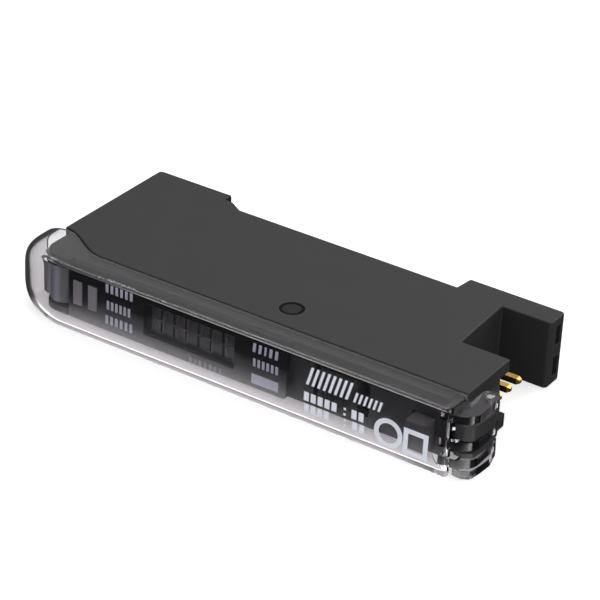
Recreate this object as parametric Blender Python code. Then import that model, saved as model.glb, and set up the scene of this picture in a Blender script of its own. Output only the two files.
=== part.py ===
"""Fibre optic sensor amplifier for a 35 mm mounting rail, lying on its side.

Sizes are in millimetres and are turned into metres when a mesh is made. The drawing frame has x along the
length from the fibre end, y from the cover's face to the rail side, and z across the 10 mm width.
"""
import math

import bmesh
import bpy
from mathutils import Matrix, Vector

for old_object in list(bpy.data.objects):
    bpy.data.objects.remove(old_object, do_unlink=True)

MM = 0.001

# Housing
BODY_LENGTH = 66.0
BODY_WIDTH = 10.0
BODY_HEIGHT = 30.3
WALL = 1.3
ROOF = 1.2
LID_THICKNESS = 1.2
LID_LEDGE = 0.6
SEAM_GAP = 0.1
FIT_GAP = 0.3
EDGE_ROUNDING = 0.25
CORNER_RADIUS = 0.6

# Seat for the mounting rail
RAIL_START = 15.8
RAIL_WIDTH = 35.15
RAIL_DEPTH = 2.95
RAIL_LEAD_IN = 3.5
HOOK_HEIGHT = 1.15
HOOK_REACH = 1.1
HOOK_GAP = 1.4
HOOK_SIDE = 1.7
TONGUE_THICKNESS = 1.5
TONGUE_SLIT = 0.8
TONGUE_SIDE_SLIT = 0.35

# Arm and connector notch
ARM_THICKNESS = 3.75
ARM_SETBACK = 0.2
NOTCH_LENGTH = 7.2
NOTCH_DEPTH_FROM_FACE = 15.3
NOTCH_SLANT = 0.5
BAY_DEPTH = 2.4
BAY_FLOOR = 1.9
BAY_ROOF = 1.7
ARM_SLOT_WIDTH = 1.2
ARM_SLOT_LOW = 1.2
ARM_SLOT_DEPTH = 3.5
ARM_RIB = 1.8

# Cover
COVER_WALL = 0.65
SKIRT_DEPTH = 4.4
NOSE_SKIRT_DEPTH = 8.2
RIM_RUN = 9.0
NOSE_START = 5.8
NOSE_LENGTH = 9.6
NOSE_PLAN_POWER = 3.66
NOSE_PROFILE_POWER = 2.48
NOSE_CENTRE_Y = 7.0
COVER_EDGE = 0.35
COVER_REAR_ROUND = 1.0
LIP_DEPTH = 1.0

# Cover hinge
HINGE_SETBACK = 1.7
HINGE_Y = 7.3
HINGE_OVERHANG = 3.2
HINGE_PIN_RADIUS = 0.45
HINGE_PIN_GAP = 0.1
KNUCKLE_RADIUS = 1.25
LUG_SWEEP_RADIUS = 6.2
LOW_EAR = (1.5, 2.8)
MIDDLE_EAR = (4.1, 5.3)
UPPER_EAR_FROM_TOP = (2.0, 0.9)

# Front of the housing, under the cover
NARROW_MARGIN = 1.0
DECK_Y = 3.1
DECK_SETBACK = 1.7
DECK_SIDE = 0.8
PANEL_FRONT = 5.7
PANEL_Y = 2.2
PANEL_THICKNESS = 0.8

# Fibre lock lever
LEVER_X = 3.3
LEVER_Y = 4.6
LEVER_HUB_RADIUS = 2.1
LEVER_LOBE_RADIUS = 2.45
LEVER_TIP_RADIUS = 3.4
LEVER_CHEEK = 0.95
LEVER_SIDE_GAP = 0.2
LEVER_PIN_RADIUS = 0.6
LEVER_BAY_DEPTH = 7.35

# Fibre ports and optics
FIBRE_BORE_RADIUS = 1.15
FIRST_FIBRE_Y = 12.0
LAST_FIBRE_FROM_BACK = 9.1
GUIDE_LENGTH = 9.2
GUIDE_MARGIN = 1.9
CLAMP_FROM_LEVER = 1.7
CLAMP_THICKNESS = 2.4
CLAMP_HEIGHT = 3.6
CLAMP_GAP = 0.2
CAM_GAP = 0.25
OPTIC_RADIUS = 1.5
OPTIC_FLANGE_RADIUS = 1.9
OPTIC_FLANGE_THICKNESS = 0.8
OPTIC_LENGTH = 3.2
LEAD_SIZE = 0.4
LEAD_SPREAD = 0.6

# Indicators, display and switches
INDICATOR_XS = (6.45, 8.95)
INDICATOR_WIDTH = 1.45
INDICATOR_HEIGHT = 3.6
INDICATOR_FOOT = 0.5
DISPLAY_START = 17.6
DISPLAY_LENGTH = 15.8
DISPLAY_TO_PANEL_END = 7.6
DISPLAY_SINK = 0.15
DISPLAY_RIM = 0.6
DIGITS = 4
SEGMENT_WIDTH = 0.35
SEGMENT_LENGTH = 1.65
SEGMENT_DEPTH = 0.25
JOG_SHARE = 0.42
JOG_WIDTH = 6.0
JOG_HEIGHT = 4.4
JOG_CLEARANCE = 1.2
JOG_TOP_Y = 1.05
JOG_PIVOT_Y = 5.4
JOG_SKIRT_Y = 4.2
JOG_GROOVES = 5
JOG_GROOVE_PITCH_DEG = 11.0
JOG_GROOVE_RADIUS = 0.28
JOG_STEM_RADIUS = 0.75
JOG_STEM_HEIGHT = 2.4
JOG_STEM_GAP = 0.2
JOG_SWITCH_THICKNESS = 0.8
KEY_FROM_REAR = 6.4
KEY_LENGTH = 3.0
KEY_LOW = 1.7
KEY_HEIGHT = 4.2
KEY_TOP_Y = 1.0
KEY_SKIRT = 1.5
KEY_GAP = 0.25
KEY_TRAVEL = 0.25
MODE_SWITCH_SIZE = 3.2
MODE_SWITCH_BODY = 0.6
PLUNGER_RADIUS = 0.8

# Boards
FRONT_BOARD_Y = 6.2
FRONT_BOARD_THICKNESS = 0.5
MAIN_BOARD_BELOW_MIDDLE = 0.6
MAIN_BOARD_THICKNESS = 0.6
MAIN_BOARD_START = 16.0
MAIN_BOARD_FROM_NOTCH = 5.4

# Parts on the main board
CHIP_THICKNESS = 1.2
SHIELD_SIZE = (7.0, 6.4, 2.3)
SHIELD_FROM_BOARD_START = 2.4
SHIELD_WALL = 0.3
RECEIVER_CHIP_SIZE = 3.6
CONTROLLER_SIZE = 7.0
CONTROLLER_FROM_BOARD_START = 12.0
CRYSTAL_SIZE = (4.6, 2.0, 1.0)
CRYSTAL_FROM_BOARD_START = 5.0
CAPACITOR_RADIUS = 2.0
CAPACITOR_FROM_BOARD_END = 5.0
COIL_SIZE = (4.2, 4.2, 2.2)
COIL_FROM_BOARD_END = 13.0
TRANSISTOR_SIZE = (3.0, 2.6)
LINK_SIZE = (6.0, 2.0, 2.0)
LINK_FROM_BOARD_END = 12.9
LINK_CHIP_SIZE = (2.4, 2.0)
LINK_CHIP_GAP = 0.9
BOARD_MARGIN = 1.4

# Power connector
PIN_SIZE = 0.9
PIN_TAPER = 0.45
PIN_PITCH = 2.54
PIN_FIRST_Y = 13.73
PIN_COUNT = 3
PIN_GAP = 0.1
HEADER_DEPTH = 2.6
HEADER_MARGIN = 1.6
HEADER_HEIGHT = 4.0
HEADER_NOSE_MARGIN = 0.95
HEADER_NOSE_HEIGHT = 2.7

# Side windows for the optical link between neighbouring amplifiers
WINDOW_X = 36.9
WINDOW_Y = 8.9
WINDOW_RADIUS = 1.6
WINDOW_FLANGE = 0.3
WINDOW_FLANGE_THICKNESS = 0.5
WINDOW_SINK = 0.05
WINDOW_GAP = 0.1

# Values worked out from the sizes above
MID_Z = BODY_WIDTH / 2
INNER_HALF = MID_Z - LID_THICKNESS
INNER_TOP = BODY_WIDTH - ROOF
RAIL_END = RAIL_START + RAIL_WIDTH
RAIL_FLOOR = BODY_HEIGHT - RAIL_DEPTH
HOOK_TIP_X = RAIL_START - RAIL_LEAD_IN
ARM_INNER_Y = BODY_HEIGHT - ARM_THICKNESS
ARM_END = BODY_LENGTH - ARM_SETBACK
NOTCH_START = BODY_LENGTH - NOTCH_LENGTH
BAY_FLOOR_Y = NOTCH_DEPTH_FROM_FACE - BAY_DEPTH
SHOULDER_Y = SKIRT_DEPTH + FIT_GAP
NOSE_FRONT = NOSE_START - NOSE_LENGTH
HINGE_X = BODY_LENGTH + HINGE_SETBACK
HINGE_REAR = BODY_LENGTH + HINGE_OVERHANG
UPPER_EAR = (BODY_WIDTH - UPPER_EAR_FROM_TOP[0], BODY_WIDTH - UPPER_EAR_FROM_TOP[1])
NARROW_LOW = NARROW_MARGIN
NARROW_HIGH = BODY_WIDTH - NARROW_MARGIN
DECK_END = BODY_LENGTH - DECK_SETBACK
DECK_HALF = MID_Z - NARROW_LOW - DECK_SIDE
DECK_ROOM_START = INDICATOR_XS[0] - FIT_GAP / 2
PANEL_REAR = DISPLAY_START + DISPLAY_LENGTH + DISPLAY_TO_PANEL_END
KEY_START = BODY_LENGTH - KEY_FROM_REAR
JOG_X = PANEL_REAR + (KEY_START - PANEL_REAR) * JOG_SHARE
CLAMP_X = LEVER_X + CLAMP_FROM_LEVER
FIBRE_YS = (FIRST_FIBRE_Y, BODY_HEIGHT - LAST_FIBRE_FROM_BACK)
GUIDE_START = WALL + FIT_GAP
OPTIC_START = GUIDE_START + GUIDE_LENGTH + FIT_GAP
MAIN_BOARD_END = NOTCH_START - MAIN_BOARD_FROM_NOTCH
MAIN_BOARD_LOW_Y = FRONT_BOARD_Y + FRONT_BOARD_THICKNESS + SEAM_GAP
MAIN_BOARD_HIGH_Y = RAIL_FLOOR - WALL - FIT_GAP
MAIN_BOARD_Z = MID_Z - MAIN_BOARD_BELOW_MIDDLE
PIN_YS = [PIN_FIRST_Y + PIN_PITCH * i for i in range(PIN_COUNT)]
X_MID = (NOSE_FRONT + HINGE_REAR) / 2
Y_MID = BODY_HEIGHT / 2
FAR = 20.0


def place(x, y, z):
    """Point of the drawing frame as a point of the model, in metres."""
    return Vector(((x - X_MID) * MM, (y - Y_MID) * MM, z * MM))


def arc(centre_x, centre_y, radius, start_deg, end_deg, steps):
    points = []
    for step in range(steps + 1):
        angle = math.radians(start_deg + (end_deg - start_deg) * step / steps)
        points.append((centre_x + radius * math.cos(angle), centre_y + radius * math.sin(angle)))
    return points


def fillet(corners, steps=4):
    """Outline from corners (x, y) or (x, y, radius), the ones with a radius rounded."""
    outline = []
    count = len(corners)
    for i, corner in enumerate(corners):
        here = Vector(corner[:2])
        if len(corner) < 3:
            outline.append(tuple(here))
            continue
        before = (Vector(corners[i - 1][:2]) - here).normalized()
        after = (Vector(corners[(i + 1) % count][:2]) - here).normalized()
        half = before.angle(after) / 2
        reach = corner[2] / math.tan(half)
        centre = here + (before + after).normalized() * (corner[2] / math.sin(half))
        first = here + before * reach - centre
        turn = first.angle_signed(here + after * reach - centre)
        for step in range(steps + 1):
            spoke = first.copy()
            spoke.rotate(Matrix.Rotation(-turn * step / steps, 2))
            outline.append(tuple(centre + spoke))
    return outline


def finish_mesh(name, bm):
    bmesh.ops.recalc_face_normals(bm, faces=bm.faces)
    mesh = bpy.data.meshes.new(name)
    bm.to_mesh(mesh)
    bm.free()
    mesh.shade_smooth()
    mesh.set_sharp_from_angle(angle=math.radians(32))
    return mesh


def add_object(name, bm, origin=None):
    """Object from a mesh, which was drawn about origin if that point of the drawing frame is given."""
    piece = bpy.data.objects.new(name, finish_mesh(name, bm))
    bpy.context.scene.collection.objects.link(piece)
    if origin:
        piece.location = place(*origin)
    return piece


def prism_mesh(outline, low, high, origin=None, low_edge=0.0, high_edge=0.0):
    """Outline in x and y drawn up from low to high, its end edges bevelled if asked."""
    bm = bmesh.new()
    to_model = place if origin is None else (lambda x, y, z: place(x, y, z) - place(*origin))
    lower = [bm.verts.new(to_model(x, y, low)) for x, y in outline]
    upper = [bm.verts.new(to_model(x, y, high)) for x, y in outline]
    floor = bm.faces.new(lower)
    roof = bm.faces.new(upper)
    for i in range(len(outline)):
        j = (i + 1) % len(outline)
        bm.faces.new((lower[i], lower[j], upper[j], upper[i]))
    bmesh.ops.recalc_face_normals(bm, faces=bm.faces)
    for face, edge in ((floor, low_edge), (roof, high_edge)):
        if edge > 0:
            bmesh.ops.bevel(bm, geom=list(face.edges), offset=edge * MM, segments=2, profile=0.5,
                            affect="EDGES", clamp_overlap=True)
    return bm


def prism(name, outline, low, high, origin=None, low_edge=0.0, high_edge=0.0):
    return add_object(name, prism_mesh(outline, low, high, origin, low_edge, high_edge), origin)


def block(name, low, high, edge=0.0, origin=None):
    """Box between two corners, with its edges rounded if asked."""
    bm = bmesh.new()
    size = Vector(high) - Vector(low)
    middle = (Vector(high) + Vector(low)) / 2
    shift = place(*middle) - (place(*origin) if origin else Vector())
    bmesh.ops.create_cube(bm, size=1.0)
    bmesh.ops.scale(bm, vec=size * MM, verts=bm.verts)
    bmesh.ops.translate(bm, vec=shift, verts=bm.verts)
    if edge > 0:
        bmesh.ops.bevel(bm, geom=list(bm.edges), offset=edge * MM, segments=2, profile=0.5, affect="EDGES")
    return add_object(name, bm, origin)


def rod(name, axis, centre, radius, start, end, steps=24, end_radius=None, origin=None):
    """Round bar along x, y or z; centre holds its two other coordinates in order."""
    bm = bmesh.new()
    length = (end - start) * MM
    bmesh.ops.create_cone(bm, cap_ends=True, segments=steps, radius1=radius * MM,
                          radius2=(radius if end_radius is None else end_radius) * MM, depth=length)
    turns = {"x": Matrix.Rotation(math.pi / 2, 4, "Y"), "y": Matrix.Rotation(-math.pi / 2, 4, "X"),
             "z": Matrix.Identity(4)}
    bmesh.ops.transform(bm, matrix=turns[axis], verts=bm.verts)
    middle = (start + end) / 2
    spots = {"x": (middle, *centre), "y": (centre[0], middle, centre[1]), "z": (*centre, middle)}
    shift = place(*spots[axis]) - (place(*origin) if origin else Vector())
    bmesh.ops.translate(bm, vec=shift, verts=bm.verts)
    return add_object(name, bm, origin)


def combine(piece, other, how):
    """Apply one Boolean to piece and delete the other object."""
    change = piece.modifiers.new("change", "BOOLEAN")
    change.operation = how
    change.solver = "EXACT"
    change.object = other
    bpy.context.view_layer.update()
    graph = bpy.context.evaluated_depsgraph_get()
    mesh = bpy.data.meshes.new_from_object(piece.evaluated_get(graph))
    piece.modifiers.clear()
    piece.data = mesh
    bpy.data.objects.remove(other, do_unlink=True)
    mesh.shade_smooth()
    mesh.set_sharp_from_angle(angle=math.radians(32))


def add(piece, *others):
    for other in others:
        combine(piece, other, "UNION")


def cut(piece, *others):
    for other in others:
        combine(piece, other, "DIFFERENCE")


def rim_y(x):
    """Edge of the cover's skirt: straight along the body, deeper round the nose."""
    share = min(max(x / RIM_RUN, 0.0), 1.0)
    return SKIRT_DEPTH + (NOSE_SKIRT_DEPTH - SKIRT_DEPTH) * 0.5 * (1 + math.cos(math.pi * share))


def wide_outline():
    """Side view of the housing from the cover's skirt to the rail."""
    shoulder = [(RIM_RUN * i / 12, rim_y(RIM_RUN * i / 12) + FIT_GAP) for i in range(13)]
    step = NOTCH_SLANT * 0.7
    corners = shoulder + [
        (BODY_LENGTH, SHOULDER_Y), (BODY_LENGTH, NOTCH_DEPTH_FROM_FACE, 0.3),
        (NOTCH_START, NOTCH_DEPTH_FROM_FACE, 0.2), (NOTCH_START - NOTCH_SLANT, ARM_INNER_Y, 0.2),
        (ARM_END, ARM_INNER_Y, CORNER_RADIUS), (ARM_END, BODY_HEIGHT, CORNER_RADIUS),
        (RAIL_END + step, BODY_HEIGHT, 0.3), (RAIL_END, RAIL_FLOOR), (RAIL_START, RAIL_FLOOR),
        (HOOK_TIP_X + RAIL_LEAD_IN / 3, BODY_HEIGHT - RAIL_DEPTH / 2), (HOOK_TIP_X, BODY_HEIGHT, 0.3),
        (0, BODY_HEIGHT, CORNER_RADIUS),
    ]
    return fillet(corners)


def inner_outline(wall):
    """Side view of the room inside the housing, the given wall away from the outside."""
    front_y = NOSE_SKIRT_DEPTH + FIT_GAP + wall
    nose_x = PANEL_FRONT + wall
    seat_y = RAIL_FLOOR - wall
    return [
        (nose_x, SHOULDER_Y + wall), (BODY_LENGTH - wall, SHOULDER_Y + wall),
        (BODY_LENGTH - wall, BAY_FLOOR_Y - wall), (NOTCH_START - wall, BAY_FLOOR_Y - wall),
        (NOTCH_START - wall, seat_y), (RAIL_START - wall, seat_y),
        (HOOK_TIP_X - wall, BODY_HEIGHT - wall), (wall, BODY_HEIGHT - wall), (wall, front_y), (nose_x, front_y),
    ]


def narrow_outline():
    """Side view of the housing's front part, which the cover's skirt passes over."""
    cheek_radius = LEVER_Y - PANEL_Y
    sunk_y = SHOULDER_Y + 1.5
    return (arc(LEVER_X, LEVER_Y, cheek_radius, 180, 270, 8)
            + [(PANEL_FRONT - SEAM_GAP, PANEL_Y), (PANEL_FRONT - SEAM_GAP, DECK_Y), (DECK_END, DECK_Y),
               (DECK_END, sunk_y), (RIM_RUN + 1, sunk_y), (RIM_RUN - 2, NOSE_SKIRT_DEPTH + 2),
               (LEVER_X - cheek_radius, NOSE_SKIRT_DEPTH + 2)])


def lug_outline():
    """Rounded rear nose of the hinge lugs, trimmed where the cover's lip swings past."""
    nose = [(HINGE_REAR - 0.7, 8.6), (HINGE_REAR, 6.0), (HINGE_REAR - 0.1, 3.85), (HINGE_REAR - 0.35, 1.8)]
    trimmed = []
    for x, y in nose:
        spoke = Vector((x - HINGE_X, y - HINGE_Y))
        if spoke.length > LUG_SWEEP_RADIUS:
            spoke = spoke.normalized() * LUG_SWEEP_RADIUS
        trimmed.append((HINGE_X + spoke.x, HINGE_Y + spoke.y, 0.7))
    inner_x = BODY_LENGTH + FIT_GAP + 0.15
    low_y = HINGE_Y - math.sqrt(LUG_SWEEP_RADIUS ** 2 - (HINGE_X - inner_x) ** 2)
    root_x = BODY_LENGTH - WALL / 2
    root_y = BAY_FLOOR_Y - WALL / 2
    return fillet([(root_x, root_y), (BODY_LENGTH + 0.3, root_y), *trimmed,
                   (HINGE_X + 0.1, HINGE_Y - LUG_SWEEP_RADIUS, 0.4), (inner_x, low_y),
                   (inner_x, SHOULDER_Y + 0.1), (root_x, SHOULDER_Y + 0.1)])


def ear_outline():
    """Side view of one hinge ear of the cover, from its rear lip to the knuckle."""
    outer = [(HINGE_REAR - 2.9, 0.2, 0.5), (HINGE_REAR - 1.3, 0.75, 1.0), (HINGE_REAR - 0.35, 1.75, 1.0),
             (HINGE_REAR - 0.1, 3.85, 2.0), (HINGE_X + KNUCKLE_RADIUS, HINGE_Y - 0.6)]
    knuckle = arc(HINGE_X, HINGE_Y, KNUCKLE_RADIUS, 0, 180, 12)
    inner_x = BODY_LENGTH + FIT_GAP + 0.1
    inner = [(inner_x, HINGE_Y - 0.8), (inner_x, SHOULDER_Y), (DECK_END + FIT_GAP, 3.6),
             (DECK_END + FIT_GAP, COVER_WALL / 2)]
    return fillet([*outer, *knuckle, *inner])


def nose_level(y, face_y, depth, half_width, edge, rear_x, rear_round):
    """Loop in x and z at one depth below the cover's face, from rear low round the nose to rear high."""
    share = min(max((NOSE_CENTRE_Y - y) / (NOSE_CENTRE_Y - face_y), 0.0), 1.0)
    reach = max((1 - share ** NOSE_PROFILE_POWER) ** (1 / NOSE_PROFILE_POWER), 0.01)
    below = min(y - face_y, edge)
    half = half_width - edge + math.sqrt(max(edge ** 2 - (edge - below) ** 2, 0.0))
    below_rear = min(y - face_y, rear_round)
    rear = rear_x - rear_round + math.sqrt(max(rear_round ** 2 - (rear_round - below_rear) ** 2, 0.0))
    loop = [(rear, MID_Z - half)]
    steps = 20
    for step in range(steps + 1):
        angle = -math.pi / 2 + math.pi * step / steps
        side = math.copysign(abs(math.sin(angle)) ** (2 / NOSE_PLAN_POWER), math.sin(angle))
        front = abs(math.cos(angle)) ** (2 / NOSE_PLAN_POWER)
        loop.append((NOSE_START - depth * reach * front, MID_Z + half * side))
    loop.append((rear, MID_Z + half))
    return loop


def cover_shell(name, face_y, depth, half_width, edge, rear_x, rear_round, last_y):
    """Closed solid of the domed cover, stacked from plan loops, drawn about the hinge axis."""
    bm = bmesh.new()
    origin = place(HINGE_X, HINGE_Y, 0)
    levels = []
    for degrees in (90, 86, 81, 76, 70, 62, 53, 44, 35, 26, 17, 8, 0):
        sink = math.sin(math.radians(degrees)) ** (2 / NOSE_PROFILE_POWER)
        levels.append(NOSE_CENTRE_Y - (NOSE_CENTRE_Y - face_y) * sink)
    levels.append(last_y)
    rings = []
    for y in levels:
        loop = nose_level(y, face_y, depth, half_width, edge, rear_x, rear_round)
        rings.append([bm.verts.new(place(x, y, z) - origin) for x, z in loop])
    count = len(rings[0])
    for upper, lower in zip(rings, rings[1:]):
        for i in range(count):
            j = (i + 1) % count
            bm.faces.new((upper[i], upper[j], lower[j], lower[i]))
    bm.faces.new(rings[0])
    bm.faces.new(rings[-1])
    return add_object(name, bm, (HINGE_X, HINGE_Y, 0))


def material(name, colour, roughness, metallic=0.0, alpha=1.0):
    made = bpy.data.materials.new(name)
    made.use_nodes = True
    shader = made.node_tree.nodes["Principled BSDF"]
    shader.inputs["Base Color"].default_value = (*colour, 1.0)
    shader.inputs["Roughness"].default_value = roughness
    shader.inputs["Metallic"].default_value = metallic
    shader.inputs["Alpha"].default_value = alpha
    made.diffuse_color = (*colour, alpha)
    return made


def paint(made, *pieces):
    for piece in pieces:
        piece.data.materials.clear()
        piece.data.materials.append(made)


black_abs = material("black_abs", (0.055, 0.055, 0.058), 0.5)
smoke = material("smoke_polycarbonate", (0.30, 0.27, 0.31), 0.05, alpha=0.35)
gloss_black = material("gloss_black", (0.012, 0.012, 0.014), 0.08)
grey_key = material("grey_key", (0.20, 0.20, 0.21), 0.4)
grey_lever = material("grey_lever", (0.25, 0.26, 0.28), 0.4)
milky = material("milky_window", (0.42, 0.41, 0.43), 0.3)
display_face = material("display_face", (0.03, 0.03, 0.03), 0.25)
board_green = material("board_green", (0.02, 0.10, 0.05), 0.4)
chip_black = material("chip_black", (0.02, 0.02, 0.02), 0.6)
gold = material("gold", (0.85, 0.58, 0.20), 0.2, metallic=1.0)
steel = material("steel", (0.55, 0.55, 0.56), 0.3, metallic=1.0)
tin = material("tin", (0.62, 0.62, 0.60), 0.35, metallic=1.0)
clear_lens = material("clear_lens", (0.75, 0.70, 0.65), 0.1)
insulator = material("insulator", (0.04, 0.04, 0.042), 0.5)


def make_housing():
    """Moulded case: walls, rail seat, arm, hinge lugs and front deck in one piece, open on its underside."""
    case = prism("housing", wide_outline(), 0, BODY_WIDTH, low_edge=EDGE_ROUNDING, high_edge=EDGE_ROUNDING)
    add(case, prism("deck", narrow_outline(), NARROW_LOW, NARROW_HIGH))
    for low, high in ((0.0, LOW_EAR[0]), (LOW_EAR[1], MIDDLE_EAR[0]), (MIDDLE_EAR[1], UPPER_EAR[0])):
        foot = low + FIT_GAP if low > 0 else 0.0
        add(case, prism("lug", lug_outline(), foot, high - FIT_GAP))
    hollow_case(case)
    cut_lever_bay(case)
    for fibre_y in FIBRE_YS:
        cut(case, rod("port", "x", (fibre_y, MID_Z), FIBRE_BORE_RADIUS + 0.1, -1, WALL + 1))
        cut(case, rod("port_mouth", "x", (fibre_y, MID_Z), FIBRE_BORE_RADIUS + 0.9, -0.2, 0.8,
                      end_radius=FIBRE_BORE_RADIUS - 0.2))
    cut_front_openings(case)
    cut_connector_end(case)
    add_rail_hooks(case)
    cut(case, rod("hinge_pin_hole", "z", (HINGE_X, HINGE_Y), HINGE_PIN_RADIUS + HINGE_PIN_GAP, -1, BODY_WIDTH))
    cut(case, rod("window_way", "z", (WINDOW_X, WINDOW_Y), WINDOW_RADIUS + WINDOW_GAP, INNER_TOP - 1,
                  BODY_WIDTH + 1, steps=32))
    cut(case, block("hook_pocket", (HOOK_TIP_X + 0.1, BODY_HEIGHT - 1.75, BODY_WIDTH - 0.8),
                    (HOOK_TIP_X + 3, BODY_HEIGHT - 0.45, BODY_WIDTH + 1)))
    paint(black_abs, case)


def hollow_case(case):
    """Room for the electronics, the ledge that the lid lies on, and the shallower room behind the deck."""
    ledge_z = LID_THICKNESS + SEAM_GAP
    cut(case, prism("room", inner_outline(WALL), -1, INNER_TOP))
    cut(case, prism("lid_seat", inner_outline(WALL - LID_LEDGE), -1, ledge_z))
    cut(case, block("deck_room", (DECK_ROOM_START, DECK_Y + WALL, MID_Z - DECK_HALF),
                    (DECK_END - WALL, SHOULDER_Y + WALL + 1, MID_Z + DECK_HALF)))


def cut_lever_bay(case):
    """Space between the two nose cheeks for the lock lever, its pin's hole and the way of the clamp."""
    bay_low = NARROW_LOW + LEVER_CHEEK
    bay_high = NARROW_HIGH - LEVER_CHEEK
    cut(case, block("lever_bay", (NOSE_FRONT, -1, bay_low),
                    (LEVER_X + LEVER_HUB_RADIUS + FIT_GAP, LEVER_BAY_DEPTH, bay_high)))
    half = CLAMP_THICKNESS / 2 + CLAMP_GAP
    cut(case, block("clamp_way", (CLAMP_X - half, LEVER_BAY_DEPTH - 1, MID_Z - CLAMP_HEIGHT / 2 - CLAMP_GAP),
                    (CLAMP_X + half, NOSE_SKIRT_DEPTH + 2 * WALL, MID_Z + CLAMP_HEIGHT / 2 + CLAMP_GAP)))
    cut(case, rod("lever_pin_hole", "z", (LEVER_X, LEVER_Y), LEVER_PIN_RADIUS + PIN_GAP, NARROW_LOW - 1,
                  NARROW_HIGH - 0.4))


def cut_front_openings(case):
    """Openings in the deck for the display with its indicators, the jog knob and the mode key."""
    floor = DECK_Y + 2 * WALL
    cut(case, block("display_way", (DECK_ROOM_START + 0.05, -1, MID_Z - DECK_HALF + 0.1),
                    (PANEL_REAR - 1, floor, MID_Z + DECK_HALF - 0.1)))
    reach = JOG_WIDTH / 2 + JOG_CLEARANCE
    cut(case, block("jog_way", (JOG_X - reach, -1, MID_Z - JOG_HEIGHT / 2 - FIT_GAP),
                    (JOG_X + reach, floor, MID_Z + JOG_HEIGHT / 2 + FIT_GAP)))
    cut(case, block("key_way", (KEY_START - KEY_GAP, -1, KEY_LOW - KEY_GAP),
                    (KEY_START + KEY_LENGTH + KEY_GAP, floor, KEY_LOW + KEY_HEIGHT + KEY_GAP)))


def cut_connector_end(case):
    """Bay between the side plates, the window for the pin header, and the two cored slots of the arm."""
    cut(case, block("bay", (NOTCH_START + 0.01, BAY_FLOOR_Y, BAY_FLOOR),
                    (BODY_LENGTH + FAR, NOTCH_DEPTH_FROM_FACE + 1, BODY_WIDTH - BAY_ROOF)))
    cut(case, block("header_way", (NOTCH_START - 2 * WALL, PIN_YS[0] - HEADER_NOSE_MARGIN - 0.15,
                                   MID_Z - HEADER_NOSE_HEIGHT / 2 - 0.15),
                    (NOTCH_START + 1, PIN_YS[-1] + HEADER_NOSE_MARGIN + 0.15,
                     MID_Z + HEADER_NOSE_HEIGHT / 2 + 0.15)))
    slot_y = BODY_HEIGHT - (ARM_THICKNESS + ARM_SLOT_WIDTH) / 2 + 0.2
    slots = ((ARM_SLOT_LOW, MID_Z - ARM_RIB / 2), (MID_Z + ARM_RIB / 2, BODY_WIDTH - ARM_SLOT_LOW))
    for low, high in slots:
        cut(case, block("arm_slot", (ARM_END - ARM_SLOT_DEPTH, slot_y, low),
                        (ARM_END + 1, slot_y + ARM_SLOT_WIDTH, high)))


def add_rail_hooks(case):
    """Fixed front hook, and the rear hook on its spring tongue, which slits free from the arm."""
    low_y = RAIL_FLOOR + HOOK_GAP
    high_y = low_y + HOOK_HEIGHT
    low_z = HOOK_SIDE
    high_z = BODY_WIDTH - HOOK_SIDE
    slit_low_y = RAIL_FLOOR - 0.4
    slit_x = RAIL_END + TONGUE_THICKNESS
    side_z = HOOK_SIDE - TONGUE_SIDE_SLIT
    cut(case, block("tongue_slit", (slit_x, slit_low_y, side_z),
                    (slit_x + TONGUE_SLIT, BODY_HEIGHT + 1, BODY_WIDTH - side_z)))
    for start_z in (side_z + 0.01, BODY_WIDTH - HOOK_SIDE):
        cut(case, block("side_slit", (RAIL_END - 1, RAIL_FLOOR + 0.2, start_z),
                        (slit_x + 0.1, BODY_HEIGHT + 1, start_z + TONGUE_SIDE_SLIT - 0.02)))
    add(case, block("front_hook", (RAIL_START - RAIL_LEAD_IN * 0.75, low_y, low_z),
                    (RAIL_START + HOOK_REACH, high_y, high_z), edge=0.15))
    add(case, block("rear_hook", (RAIL_END - HOOK_REACH, low_y, low_z + 0.05),
                    (RAIL_END + TONGUE_THICKNESS / 2, high_y, high_z - 0.05), edge=0.15))


def make_side_lid():
    """Flat plate that lies on the ledge of the case and closes its underside."""
    lid = prism("side_lid", inner_outline(WALL - LID_LEDGE + SEAM_GAP), 0, LID_THICKNESS, low_edge=0.15)
    cut(lid, rod("window_way", "z", (WINDOW_X, WINDOW_Y), WINDOW_RADIUS + WINDOW_GAP, -1,
                 LID_THICKNESS + 1, steps=32))
    paint(black_abs, lid)


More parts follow.
